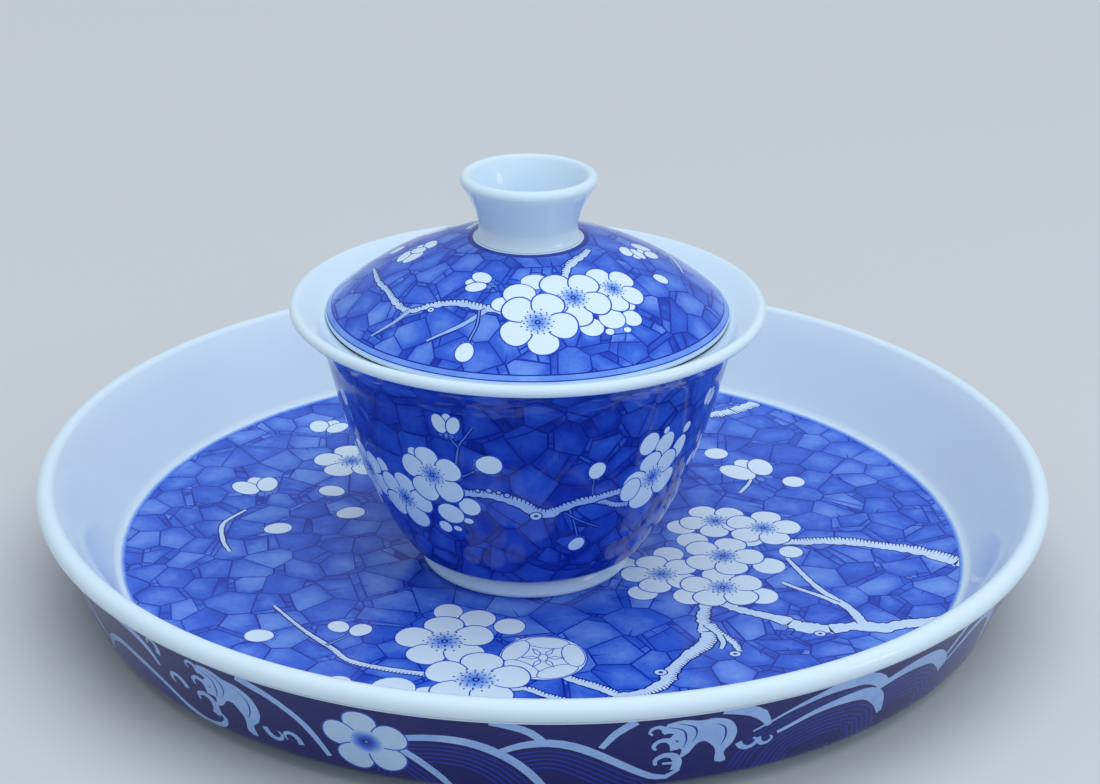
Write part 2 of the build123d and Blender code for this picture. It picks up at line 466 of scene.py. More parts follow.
class Turned:
    """The closed mesh of one turned piece, from plain rings and painted patches."""

    def __init__(self, outline, count):
        self.outline, self.count = outline, count
        self.along, self.angle = [], []
        self.triangles, self.pigments, self.groups = [], [], []

    def vertex(self, along, angle):
        self.along.append(float(along))
        self.angle.append(angle)
        return len(self.along) - 1

    def triangle(self, a, b, c, pigments=(BARE, BARE, BARE)):
        self.triangles.append((a, b, c))
        self.pigments.append(pigments)

    def ring(self, along):
        """A regular loop of vertices, or the one vertex on the axis."""
        count = 1 if self.outline.radius(along) < 1e-6 else self.count
        return [self.vertex(along, 2 * pi * i / count) for i in range(count)]

    def stitch(self, first, second, layout):
        """Triangles between two loops, whose vertices are in order of angle."""
        self.groups.append((len(self.triangles), layout))
        if len(first) == 1 or len(second) == 1:
            hub, rim = (first, second) if len(first) == 1 else (second, first)
            for i in range(len(rim)):
                self.triangle(hub[0], rim[i], rim[(i + 1) % len(rim)])
            return
        i = j = 0
        while i < len(first) or j < len(second):
            next_first = self.angle[first[i + 1]] if i + 1 < len(first) else 2 * pi
            next_second = self.angle[second[j + 1]] if j + 1 < len(second) else 2 * pi
            here = (first[i % len(first)], second[j % len(second)])
            if j == len(second) or (i < len(first) and next_first <= next_second):
                i += 1
                self.triangle(*here, first[i % len(first)])
            else:
                j += 1
                self.triangle(*here, second[j % len(second)])

    def plain(self, start, end, box, first=None, last=None, layout=None):
        """Bare rings between two distances, from a loop that is there already or to one."""
        loops = [self.ring(along) for along in self.outline.stops(start, end)[1:-1]]
        loops = [first or self.ring(start)] + loops + [last or self.ring(end)]
        for one, other in zip(loops, loops[1:]):
            self.stitch(one, other, layout or rows_in(box, start, end))

    def painted(self, art, layout):
        """Adds a painting's triangles and returns its inner and outer loops."""
        points, faces, tones = art.triangles()
        self.groups.append((len(self.triangles), layout))
        patch = art.patch
        number, directed = {}, set()
        for face, tone in zip(faces, tones):
            for i in face:
                if i not in number:
                    angle = atan2(points[i][1], points[i][0]) % (2 * pi)
                    along = patch.along(patch.t_at(hypot(*points[i])))
                    number[i] = self.vertex(along, 0.0 if angle > 2 * pi - 1e-7 else angle)
            corners = [number[i] for i in face]
            self.triangle(*corners, tone)
            directed |= set(zip(corners, corners[1:] + corners[:1]))
        edge = {v for a, b in directed if (b, a) not in directed for v in (a, b)}
        middle = (patch.inner + patch.outer) / 2
        loops = []
        for side in (patch.inner, patch.outer):
            loop = [v for v in edge if (self.along[v] > middle) == (side > middle)]
            for v in loop:
                self.along[v] = side
            loops.append(sorted(loop, key=lambda v: self.angle[v]))
        return loops

    def laid_out(self, triangles, starts):
        """Places of all corners on the square of the UV layout."""
        along, angle = np.array(self.along)[triangles], np.array(self.angle)[triangles]
        hub = self.outline.radius(along) < 1e-6
        known = np.where(hub[:, :1], angle[:, 1:2], angle[:, :1])
        angle = known + (angle - known + pi) % (2 * pi) - pi
        angle = np.where(hub, 0, angle)
        others = angle.sum(axis=1, keepdims=True) / np.maximum((~hub).sum(axis=1, keepdims=True), 1)
        angle = np.where(hub, others, angle)
        middle = angle.mean(axis=1, keepdims=True)
        whole = 2 * pi * np.floor(middle / (2 * pi))
        places = np.empty(triangles.shape + (2,), dtype=np.float32)
        for (_, layout), start, end in zip(self.groups, starts, starts[1:]):
            part = slice(start, end)
            across, up = layout(along[part], (angle - whole)[part], (middle - whole)[part])
            places[part, :, 0], places[part, :, 1] = across, up
        return places

    def build(self, name, place):
        """The mesh object, with its exact normals, standing at a place in the row frame."""
        along, angle = np.array(self.along), np.array(self.angle)
        radius, height = self.outline.radius(along), self.outline.height(along)
        across, up = self.outline.normal(along)
        spots = np.stack([radius * np.cos(angle), radius * np.sin(angle), height], axis=1)
        normals = np.stack([across * np.cos(angle), across * np.sin(angle), up], axis=1)
        normals[radius < 1e-6] = np.array([0, 0, 1.0]) * np.sign(up[radius < 1e-6])[:, None]
        triangles, pigments = np.array(self.triangles), np.array(self.pigments, dtype=np.float32)
        a, b, c = (spots[triangles[:, i]] for i in range(3))
        facing = np.einsum("ij,ij->i", np.cross(b - a, c - a), normals[triangles].sum(axis=1))
        starts = [start for start, _ in self.groups] + [len(triangles)]
        for start, end in zip(starts, starts[1:]):
            if facing[start:end].sum() < 0:
                triangles[start:end] = triangles[start:end, ::-1]
                pigments[start:end] = pigments[start:end, ::-1]
        mesh = bpy.data.meshes.new(name)
        mesh.from_pydata((spots * MM + np.array(place)).tolist(), [], triangles.tolist())
        attribute = mesh.attributes.new("pigment", "FLOAT", "CORNER")
        attribute.data.foreach_set("value", pigments.ravel())
        sheet = mesh.uv_layers.new(name="OFBake")
        sheet.data.foreach_set("uv", self.laid_out(triangles, starts).ravel())
        mesh.shade_smooth()
        mesh.normals_split_custom_set_from_vertices(normals.tolist())
        piece = bpy.data.objects.new(name, mesh)
        bpy.context.scene.collection.objects.link(piece)
        return piece


# Brushwork

def smooth(points, step):
    """Points of a smooth curve through the given ones, about one step apart."""
    points = [np.array(p, float) for p in points]
    ends = [2 * points[0] - points[1]] + points + [2 * points[-1] - points[-2]]
    path = [points[0]]
    for a, b, c, d in zip(ends, ends[1:], ends[2:], ends[3:]):
        count = max(1, round(hypot(*(c - b)) / step))
        for i in range(1, count + 1):
            u = i / count
            path.append(0.5 * (2 * b + (c - a) * u + (2 * a - 5 * b + 4 * c - d) * u ** 2
                               + (3 * b - a - 3 * c + d) * u ** 3))
    return path


def sides(path, widths):
    """Points on both sides of a path, half a width away from it."""
    path = np.array(path)
    heading = np.gradient(path, axis=0)
    heading /= np.maximum(np.hypot(*heading.T), 1e-9)[:, None]
    half = np.broadcast_to(widths, len(path))[:, None] / 2
    offset = np.stack([-heading[:, 1], heading[:, 0]], axis=1) * half
    return path + offset, path - offset


def spread(values, count):
    """Values at even intervals along a stroke, filled in to one for each of its points."""
    return np.interp(np.linspace(0, 1, count), np.linspace(0, 1, len(values)), values)


def stroke(art, path, widths, tone):
    """A brush stroke along a path, with one width or a width at each of its points."""
    left, right = sides(path, widths)
    for i in range(len(path) - 1):
        art.shape([left[i], right[i], right[i + 1]], tone)
        art.shape([left[i], right[i + 1], left[i + 1]], tone)


def oval(spot, width, height, count=20, fat=0.0):
    """Outline of an oval. A fat one is wider at its upper end than at its lower end."""
    angles = [2 * pi * i / count for i in range(count)]
    return [spot(width / 2 * cos(a) * (1 + fat * sin(a)), height / 2 * sin(a)) for a in angles]


def outlined(art, spot, width, height, tone=BARE, line=0.28, count=20, fat=0.0, ink=HALO):
    """An oval with a thin blue outline."""
    art.shape(oval(spot, width + 2 * line, height + 2 * line, count, fat), ink)
    art.shape(oval(spot, width, height, count, fat), tone)


def stamens(art, spot, radius):
    """Rings of fine dots round the heart of a blossom."""
    for share, count in ((0.15, 6), (0.23, 10), (0.31, 13), (0.385, 15)):
        for i in range(count):
            away = share * radius * (1 + 0.05 * ((3 * i) % 5 - 2))
            dot = spot.turned(360 * (i + 0.5 * (count % 2)) / count).moved(0, away)
            art.shape(oval(dot, 0.046 * radius, 0.056 * radius, 5), 0.84)


def blossom(art, spot, radius, fine=True, tone=BARE, heart=0.5):
    """An open blossom with five round petals, and stamens round its heart."""
    for i in range(5):
        petal = spot.turned(72 * i).moved(0, 0.595 * radius)
        outlined(art, petal, 0.78 * radius, 0.81 * radius, tone, line=0.32, count=24, fat=0.16)
    reach = 0.40 * radius

    def wash(point):
        away = hypot(*(np.array(point) - spot.origin)) / spot.scale / reach
        return tone + heart * max(0.0, 1 - away) ** 1.1

    art.shape(oval(spot, 2 * reach, 2 * reach), wash)
    for share in (0.25, 0.5, 0.75):
        art.points += [tuple(p) for p in oval(spot, 2 * reach * share, 2 * reach * share, 10)]
    if fine:
        stamens(art, spot, radius)
    art.shape(oval(spot, 0.15 * radius, 0.15 * radius, 12), 0.85)
    art.shape(oval(spot, 0.07 * radius, 0.07 * radius, 8), 0.3)


def folded_blossom(art, spot, radius):
    """A blossom seen from behind: a ball of five folded petals round a star of sepals."""
    outlined(art, spot, 2 * radius, 2 * radius, line=0.3, count=36)
    for i in range(5):
        petal = spot.turned(72 * i - 8).moved(0, 0.71 * radius)
        outlined(art, petal, 1.02 * radius, 0.5 * radius, line=0.22)
    for i in range(6):
        sepal = spot.turned(60 * i + 30)
        rim = [sepal(x * radius, y * radius) for x, y in ((0, 0.12), (0.07, 0.26), (0, 0.5), (-0.07, 0.26))]
        for start, end in zip(rim, rim[1:] + rim[:1]):
            stroke(art, [start, end], 0.2 * spot.scale, 0.6)
    outlined(art, spot, 0.2 * radius, 0.3 * radius, line=0.2, count=12, ink=0.65)


def calyx(art, spot, size):
    """Small sepals that hold a bud, at its lower end."""
    for turn in (-24, 24, 0):
        sepal = spot.turned(turn).moved(0, -0.5 * size)
        outlined(art, sepal, 0.17 * size, 0.26 * size, 0.42, line=0.16, count=8, ink=0.85)


def bud(art, spot, size, stem=0.0):
    """A round bud that points up, with its sepals and a thin stem below."""
    if stem:
        low = -0.5 * size
        path = [spot(0, low), spot(0.2 * size, low - 0.5 * stem), spot(0.1 * size, low - stem)]
        path = smooth(path, 0.8 * spot.scale)
        stroke(art, path, 0.95 * spot.scale, 0.85)
        stroke(art, path, 0.35 * spot.scale, 0.3)
    calyx(art, spot, size)
    outlined(art, spot, 0.84 * size, size, fat=0.08)


def half_open(art, spot, size):
    """A half-open blossom, with a small petal behind two outer ones."""
    calyx(art, spot, 0.95 * size)
    outlined(art, spot.moved(0.04 * size, 0.24 * size), 0.42 * size, 0.6 * size)
    outlined(art, spot.moved(-0.28 * size, 0).turned(22), 0.56 * size, 0.84 * size)
    outlined(art, spot.moved(0.28 * size, 0.04 * size).turned(-18), 0.5 * size, 0.8 * size)


def petals(art, places, lean=0):
    """Loose petals, each with its place on the patch, width and height."""
    for a, b, width, height in places:
        outlined(art, art.spot(a, b, lean), width, height, line=0.24)


def branch(art, course, widths, hatch=1, edge=0.3, rough=0.14, wood=WOOD, ink=0.9):
    """A branch: pale wood with dark edges, rough bark, and short hatching along one side."""
    path, scales = art.traced(course, 0.75)
    gnarl = np.array([art.rng.uniform(1 - rough, 1 + rough) for _ in path])
    width = spread(widths, len(path)) * gnarl * scales
    stroke(art, path, width + 2 * edge * scales, ink)
    stroke(art, path, width, wood)
    if not hatch:
        return
    near, far = sides(path, width)[::hatch]
    for i in range(len(path) - 1):
        ahead = near[i + 1] - near[i]
        tip = near[i] + (far[i] - near[i]) * art.rng.uniform(0.32, 0.56) + ahead * 0.5
        art.shape([near[i], near[i] + ahead * 0.45, tip], ink)


def twig(art, course, width, tone=0.3, edge=0.28):
    """A thin twig: a narrow pale line between dark edges."""
    path, scales = art.traced(course, 0.9)
    for rim, ink in ((2 * edge, 0.88), (0, tone)):
        stroke(art, path, spread((width + rim, 0.8 * width + rim), len(path)) * scales, ink)


def knot(art, spot, size):
    """A small ring where a twig broke off."""
    outlined(art, spot, size, 0.86 * size, WOOD, count=12, ink=0.85)
    art.shape(oval(spot, 0.42 * size, 0.36 * size, 8), 0.75)


# Cracked ice

def span(way, point):
    """Distance of a point along a direction."""
    return way[0] * point[0] + way[1] * point[1]


def swung(way, angle):
    """A direction turned by an angle in degrees."""
    c, s = cos(radians(angle)), sin(radians(angle))
    return (way[0] * c - way[1] * s, way[0] * s + way[1] * c)


def between(p, q, u):
    """A point at a share of the way from one point to another."""
    return (p[0] + (q[0] - p[0]) * u, p[1] + (q[1] - p[1]) * u)


def clipped(polygon, way, limit):
    """The part of a convex polygon where the distance along a direction is within a limit."""
    kept = []
    depths = [span(way, p) - limit for p in polygon]
    for i, (p, d) in enumerate(zip(polygon, depths)):
        q, e = polygon[i - 1], depths[i - 1]
        if (d < 0) != (e < 0):
            kept.append(between(q, p, e / (e - d)))
        if d < 0:
            kept.append(p)
    return kept


def cut(polygon, way, limit):
    """The parts of a convex polygon within and beyond a limit along a direction."""
    return clipped(polygon, way, limit), clipped(polygon, (-way[0], -way[1]), -limit)


def outward_sides(polygon):
    """Unit outward direction, distance from the origin and corners of each side, anticlockwise."""
    found = []
    for p, q in zip(polygon, polygon[1:] + polygon[:1]):
        size = hypot(q[0] - p[0], q[1] - p[1])
        if size > 1e-6:
            n = ((q[1] - p[1]) / size, (p[0] - q[0]) / size)
            found.append((n, span(n, p), p, q))
    return found


def shrunk(polygon, gap):
    """A convex polygon drawn in by a gap on every side."""
    for n, limit, _, _ in outward_sides(polygon):
        polygon = clipped(polygon, n, limit - gap)
    return polygon


def scattered(patch, rng, size):
    """Uneven points on the plane, about one cell size apart on the surface."""
    low, high = patch.rho[0] * 0.86, patch.rho[-1] * 1.12
    points, scales, misses = [], [], 0
    while misses < FULL_AFTER:
        rho = low + (high - low) * sqrt(rng.random()) if low < 1 else low * (high / low) ** rng.random()
        spot = rho * unit(rng.uniform(0, 2 * pi))
        scale = patch.scale_at(min(max(rho, patch.rho[0]), patch.rho[-1]))
        gap = size * scale * rng.uniform(0.66, 1.0)
        if points and np.min(np.hypot(*(np.array(points) - spot).T)) < gap:
            misses += 1
            continue
        misses = 0
        points.append(spot)
        scales.append(scale)
    return np.array(points), scales


def cell_round(points, i, reach):
    """The part of the plane nearer to one point than to any other."""
    cell = [tuple(points[i] + reach * np.array(way)) for way in ((-1, -1), (1, -1), (1, 1), (-1, 1))]
    away = np.hypot(*(points - points[i]).T)
    for j in np.argsort(away)[1:20]:
        n = (points[j] - points[i]) / away[j]
        cell = clipped(cell, n, float(n @ (points[i] + points[j])) / 2)
    return cell


def slivers(cell, rng, scale):
    """A cell's large piece, then the slivers that cracks beside some of its sides cut off."""
    pieces = []
    for n, _, p, q in outward_sides(cell):
        if rng.random() > SLIVER_SHARE:
            continue
        n = swung(n, rng.uniform(-9, 9))
        rest, strip = cut(cell, n, span(n, between(p, q, 0.5)) - rng.uniform(1.0, 2.3) * scale)
        if len(strip) < 3 or len(rest) < 3 or abs(signed_area(rest)) < 5 * scale ** 2:
            continue
        cell = rest
        for _ in range(rng.choice((0, 1, 1, 2))):
            across = swung(n, rng.uniform(55, 125))
            strip, piece = cut(strip, across, span(across, between(p, q, rng.uniform(0.2, 0.8))))
            pieces.append(piece)
        pieces.append(strip)
    return [cell] + pieces


def ice_tone(cell, tone, rng):
    """Pigment of one piece of ice: a sloping wash that gathers towards its sides."""
    centre = [sum(c) / len(cell) for c in zip(*cell)]
    edges = [(n, max(limit - span(n, centre), 1e-3)) for n, limit, _, _ in outward_sides(cell)]
    size = max(d for _, d in edges)
    slope, way = rng.uniform(0.0, 0.09), unit(rng.uniform(0, 2 * pi))

    def shade(point):
        away = (point[0] - centre[0], point[1] - centre[1])
        outer = max(span(n, away) / d for n, d in edges)
        return tone + 0.10 * max(outer, 0.0) ** 2 - 0.04 + slope * span(way, away) / size

    return shade


def cracked_ice(art, size, tone, line):
    """Covers a patch with cells of cracked ice between dark lines."""
    rng = art.rng
    points, scales = scattered(art.patch, rng, size)
    for i, scale in enumerate(scales):
        cell = cell_round(points, i, 2.2 * size * scale)
        if len(cell) < 3:
            continue
        pieces = slivers(cell, rng, scale)
        for j, piece in enumerate(pieces):
            inner = shrunk(piece, line * rng.uniform(0.6, 1.25) / 2 * scale)
            if len(inner) < 3 or abs(signed_area(inner)) < 0.12 * scale ** 2:
                continue
            level = tone + rng.gauss(0, 0.04) + (rng.uniform(-0.04, 0.10) if j else 0)
            art.shape(inner, ice_tone(inner, level, rng))
        if rng.random() < HAIRLINE_SHARE:
            _, _, p, q = rng.choice(outward_sides(pieces[0]))
            foot = np.array(between(p, q, rng.uniform(0.3, 0.7)))
            tip = foot + (points[i] - foot) * rng.uniform(0.5, 0.9)
            aside = np.array((foot[1] - tip[1], tip[0] - foot[0]))
            aside *= line * scale * 0.5 / max(hypot(*aside), 1e-6)
            art.shape([foot - aside, foot + aside, tip], art.tones[0])


# Compositions

def paint_lid(patch, count):
    art = Painting(patch, count, 0.74, 11)
    cracked_ice(art, size=7.0, tone=0.45, line=0.34)
    for art.turn in (0, 183):
        lid_spray(art)
    top = patch.length
    art.band(0, 1.1, 0.76)
    art.band(top - 1.95, top - 1.65, 0.78)
    art.band(top - 1.65, top - 0.6, 0.32)
    art.band(top - 0.6, top - 0.35, 0.66)
    art.band(top - 0.35, top, 0.1)
    return art


def lid_spray(art):
    """The lid's branch, from its left over the front to a group of blossoms beside the knob."""
    branch(art, ((178, 21.5), (-166, 20.7), (-155, 20.5), (-145, 21.5), (-136, 21.9), (-129, 19),
           (-119, 16.9), (-109, 17), (-99, 17.5)), (0.6, 1.1, 1.3, 1.4, 1.7), rough=0.3, edge=0.24, wood=0.13)
    branch(art, ((-136, 21.9), (-138, 25.5), (-142, 30)), (1.1, 0.4), hatch=0, edge=0.2, wood=0.2)
    branch(art, ((-106, 17.5), (-113, 22), (-122, 27)), (1.1, 0.45), hatch=0, edge=0.2, wood=0.2)
    branch(art, ((-69, 9), (-63, 5.9), (-54, 4.1), (-40, 3.1), (-28, 2.4)), (1.3, 1.6, 1.3), rough=0.25,
           edge=0.24)
    twig(art, ((-109, 17.7), (-107.6, 21.5), (-108.5, 25.7)), 0.3)
    twig(art, ((-106, 10.9), (-109, 11.1), (-112.5, 10.9)), 0.3)
    petals(art, ((-67, 22.2, 4.8, 4.2), (-48.8, 18.6, 4.4, 3.8), (-50.5, 22.1, 4.2, 3.8),
           (-58, 21.1, 5.4, 4.8), (-61.5, 23.9, 1.8, 1.4), (-55, 24.3, 1.6, 1.2)))
    art.add(blossom, (-47.5, 14.1, 30, 6.3))
    petals(art, ((-85.8, 9.1, 5.4, 4.4), (-97.4, 11.7, 1.9, 1.6), (-100.6, 15.7, 4.0, 3.6),
           (-93.6, 12.7, 6.2, 5.6)))
    art.add(blossom, (-69, 14.3, 8, 7.4), (-86, 20, -10, 7.7))
    art.add(half_open, (-115.8, 10.5, 84, 5.2))
    art.add(bud, (-108.6, 27.9, 0, 4.2))
    art.add(half_open, (-176, 13.5, 140, 5.6), (-4, 10, 60, 5.0))
    art.add(bud, (-18, 17.5, -40, 3.4))
    art.add(knot, (-128, 20.1, 0, 1.3))


def paint_bowl(patch, count):
    art = Painting(patch, count, 0.88, 23)
    # The bowl's ice is darker than the lid's and the floor's: partly deeper cobalt, and partly painted shade
    # on its upright, front-facing side.
    cracked_ice(art, size=7.4, tone=0.62, line=0.36)
    for art.turn in (0, 180):
        bowl_spray(art)
    art.band(0, 1.0, BARE)
    art.band(1.0, 1.5, 0.7)
    art.band(patch.length - 1.3, patch.length, 0.85)
    return art


def bowl_spray(art):
    """The bowl's branch between its two groups of blossoms."""
    branch(art, ((-69, 29.2), (-64.6, 28.2), (-60.5, 26.8), (-55, 26)), (1.3, 1.1, 1.0), edge=0.26, wood=0.2)
    branch(art, ((-111, 31.2), (-102, 31.4), (-96, 30.7), (-91, 29.4), (-87, 27.4), (-82.6, 26.8),
           (-78.4, 28), (-73.3, 29.2), (-67.9, 29.5), (-63.4, 30), (-56, 30.4)),
           (1.5, 1.7, 2.2, 2.3, 1.9, 1.5, 1.2), hatch=-1, edge=0.34, rough=0.2, wood=0.17)
    for angle, up, size in ((-104.5, 32.2, 0.8), (-101, 32.5, 1.0), (-98, 32.2, 0.8), (-95.5, 31.6, 1.0)):
        outlined(art, art.spot(angle, up), size, size, 0.2, line=0.3, count=8, ink=0.9)
    twig(art, ((-110.5, 37.5), (-108.8, 42.6), (-106.5, 45.2), (-104.3, 47.6)), 0.34, 0.42)
    twig(art, ((-108.8, 42.4), (-110.3, 43.6), (-111.3, 44.8)), 0.3, 0.42)
    twig(art, ((-110.4, 34.8), (-107.5, 35.8), (-104.4, 37.3)), 0.32, 0.42)
    twig(art, ((-76, 27.4), (-73.6, 23.4), (-71.8, 19.6)), 0.3, 0.42)
    twig(art, ((-77.2, 26.6), (-71.2, 23.8), (-64.4, 21.4)), 0.26, 0.42)
    twig(art, ((-69, 30.6), (-69.4, 33), (-69.1, 35)), 0.3, 0.42)
    art.add(knot, (-86.6, 26.2, 0, 2.2))
    art.add(half_open, (-111.8, 47.4, -4, 5.2))
    art.add(bud, (-100.4, 39, -80, 5.2), (-68.8, 36.8, -10, 4.0), (-71.4, 17.2, 168, 3.8))
    petals(art, ((-109, 23.6, 2.0, 1.4), (-113.6, 20.8, 1.7, 1.4), (-118.4, 20.6, 2.8, 3.0),
           (-107.8, 27.6, 4.4, 4.4), (-115, 24.8, 5.6, 5.0), (-141, 31.6, 3.4, 3.6), (-124, 38.6, 3.0, 2.8),
           (-143, 22.8, 3.6, 3.0)))
    art.add(blossom, (-152, 28, 20, 6.8), (-133.2, 25.4, -14, 7.0), (-119, 34.2, 8, 7.1))
    petals(art, ((-52.2, 40.6, 4.6, 5.2), (-38, 36.6, 4.0, 5.6), (-45.6, 39.2, 4.8, 5.6),
           (-46.4, 42.6, 1.4, 1.6), (-36.5, 41, 2.2, 2.4)), -12)
    art.add(blossom, (-47.4, 31.4, 22, 7.2))
    petals(art, ((-55.4, 29.8, 4.6, 5.8),))
    art.add(half_open, (-26, 45, -30, 4.4))
    art.add(bud, (-24, 30, -50, 3.6, 2.5), (-155, 44, 10, 3.6, 3.0))


def paint_floor(patch, count):
    art = Painting(patch, count, 0.76, 37)
    cracked_ice(art, size=7.8, tone=0.45, line=0.36)
    floor_left(art)
    floor_front(art)
    floor_right(art)
    floor_back(art)
    edge, width = FLOOR_FADE_START, 1.2

    def fade(point):
        return 0.5 * min(max(1 - (hypot(*point) - edge) / width, 0.0), 1.0)

    art.band(edge, edge + width, fade)
    art.band(edge + width, patch.length, BARE)
    return art


def floor_left(art):
    """Loose buds and a thin twig on the left of the dish."""
    branch(art, ((-54, -34), (-47, -44), (-41, -51), (-37, -56), (-30, -59), (-22, -61)),
           (0.6, 1.0, 1.3, 1.6), hatch=-1)
    twig(art, ((-42, -50), (-39.5, -47.5), (-38, -46)), 0.4)
    branch(art, ((-65, 10), (-69, 3), (-68, -5), (-66, -10)), (0.6, 1.0, 0.7), hatch=0)
    art.add(bud, (-40.2, -42.5, 35, 4.8), (-35.8, -43.8, -30, 5.0), (-55.5, -46.4, 90, 5.8))
    art.add(half_open, (-64, 22, 20, 9.0))
    art.add(bud, (-57, 1, -70, 6.0), (-47, 20, 60, 6.0), (-42, 9, -60, 6.4))
    art.add(half_open, (-51, 55, -15, 8.0))
    art.add(blossom, (-44, 36, 10, 8.6))


def floor_front(art):
    """The group of blossoms in front of the bowl."""
    branch(art, ((-9, -67), (-3, -66), (1, -68.5), (8, -72), (18, -77)), (1.4, 1.7, 2.2), rough=0.2)
    branch(art, ((3, -60), (6, -62.5), (11, -65.4), (15, -68.6)), (1.7, 2.0, 2.2), edge=0.38)
    branch(art, ((-5, -47), (-1, -49), (2, -52)), (1.2, 1.0), hatch=0)
    petals(art, ((-38.5, -64.4, 5.2, 5.0), (-21, -69.8, 8.8, 8.4), (-28, -66.4, 8.6, 8.2),
           (-18.8, -36, 5.8, 6.6), (-6.4, -41.8, 6.2, 6.4), (-12.8, -38.8, 7.2, 7.2)))
    art.add(blossom, (-19, -48, 4, 9.9))
    art.add(folded_blossom, (0.3, -54.2, 0, 8.4))
    art.add(blossom, (-12.4, -62.8, -8, 10.3))


def floor_right(art):
    """The gnarled branches that come in from the right, with the large group of blossoms."""
    branch(art, ((15, -68.4), (19, -67.4), (23.4, -63.4), (25.4, -58), (28.8, -52.4), (32, -48.4), (33, -44),
           (32.2, -38), (33, -33), (33.6, -24)), (2.0, 2.6, 3.2, 2.6, 2.8, 3.4, 2.2, 2.4, 2.0), hatch=-1,
           rough=0.24, edge=0.38)
    branch(art, ((33.2, -40), (35, -43.6), (37.6, -47.4), (38.6, -51)), (2.2, 1.5, 1.0), rough=0.2)
    branch(art, ((35, -44.6), (35.6, -47.6), (35, -50)), (1.2, 0.8), hatch=0)
    branch(art, ((36, -31), (40, -34), (48, -38), (52, -41), (57, -41.6), (63, -40.3), (68, -41), (72, -39.4),
           (80, -38)), (2.4, 2.2, 3.0, 4.0, 3.0, 3.6, 2.8, 3.8), hatch=0, rough=0.22, edge=0.4)
    branch(art, ((50, -3), (55, -3.2), (60, -2.6), (66, -3), (72, -4.6), (79, -6.6), (84, -9.5), (89, -13)),
           (2.4, 3.0, 3.4, 3.8), hatch=1, rough=0.2, edge=0.36)
    branch(art, ((51.5, -11), (54, -18), (57, -25), (62, -33), (64, -39)), (0.9, 1.3, 2.2), hatch=0)
    branch(art, ((49.5, -22), (53, -25), (57, -28), (60, -31)), (0.8, 1.1), hatch=0)
    art.add(knot, (22.8, -59.4, 0, 2.4), (37.6, -52, 0, 2.2), (55, -43.6, 0, 2.2))
    petals(art, ((32, -3, 6.8, 7), (30, 3.4, 6.4, 6.6), (44, -2, 6.8, 7), (26.6, -9.6, 6.4, 6.6),
           (47.4, -14.6, 6.8, 7), (30, -28.4, 6.6, 6.8), (20.6, -27, 6.2, 6.2), (44.8, -28, 6.6, 6.8),
           (17.6, -14, 4.6, 4.8), (52.6, -8, 5, 5.2)))
    art.add(blossom, (37.5, 6.5, 30, 7.8), (47.6, 3.3, -12, 8.2), (24.7, -18.7, 20, 8.4), (37, -24.4, 5, 8.6),
            (38, -10.2, -20, 8.6))
    art.add(half_open, (47, 33, 25, 11.0))
    petals(art, ((56.5, 27, 5.0, 5.4), (40, 42, 5.4, 5.8)))
    branch(art, ((44, 21), (46, 25), (47, 28)), (0.9, 0.7), hatch=0)


def floor_back(art):
    """A branch behind the bowl, from the right edge towards the left."""
    branch(art, ((52, 72), (44, 66), (35, 63), (26, 60), (18, 61), (9, 57), (0, 58), (-10, 55)),
           (3.4, 3.0, 2.4, 2.0, 1.4), hatch=1, rough=0.22, edge=0.36)
    branch(art, ((26, 60), (21, 67), (14, 72), (10, 77)), (1.6, 0.8))
    twig(art, ((9, 57), (7, 50), (9, 44)), 0.6)
    twig(art, ((35, 63), (37, 55), (33, 49)), 0.6)
    art.add(knot, (31, 64.2, 0, 2.2))
    petals(art, ((-13, 62.4, 6.4, 6.6), (-24.6, 59.4, 6.2, 6.4), (-9, 46.6, 6.2, 6.2), (-29, 49, 6, 6.2)))
    art.add(blossom, (-20, 50, 10, 8.4), (-10, 55, -25, 8.0))
    art.add(bud, (9, 42, 180, 5.0), (9.5, 79, 20, 5.0), (32.5, 47, 170, 5.0), (-40, 66, 40, 5.2, 3))


# Waves on the dish's wall

def wave(art, course, widths, lines=0):
    """A rolling wave: a pale brush stroke over thin lines that follow it, in front of the sea behind."""
    if lines:
        (a0, t0), (a1, t1) = course[0], course[-1]
        guide = ((a0 - 2.6, t0 - 9), (a0 - 1.6, t0 - 4), *course, (a1 + 0.7, t1 - 4), (a1 + 1.0, t1 - 9))
        path, scales = art.traced(guide, 1.9, 2)
        width = spread((0.3, 0.6) + widths + (widths[-1], widths[-1]), len(path)) * scales
        art.shape(sides(path, width * 0.5)[0], SEA_AND_PAINTED_SHADE)
        ahead = np.diff(path, axis=0)
        for line in range(1, lines + 1):
            inner, _ = sides(path, width + 2.3 * line * scales)
            forward = (np.diff(inner, axis=0) * ahead).sum(axis=1) > 0.1 * (ahead ** 2).sum(axis=1)
            for i in np.flatnonzero(forward[:-1] & forward[1:]):
                stroke(art, inner[i:i + 2], 0.4 * scales[i], SEA_LINE)
    path, scales = art.traced(course, 1.9)
    stroke(art, path, spread(widths, len(path)) * scales, FOAM_TINTED_AS_SHADE)


def claw(art, spot, size, hand=1):
    """A claw of foam: a short hooked stroke that thins to its tip."""
    path = [spot(hand * x * size, y * size)
            for x, y in ((0.55, -0.5), (0.5, 0.0), (0.2, 0.4), (-0.25, 0.4), (-0.5, 0.05), (-0.36, -0.25))]
    path = smooth(path, 0.7 * spot.scale)
    stroke(art, path, size * spot.scale * spread((0.42, 0.4, 0.34, 0.26, 0.14), len(path)), FOAM_TINTED_AS_SHADE)


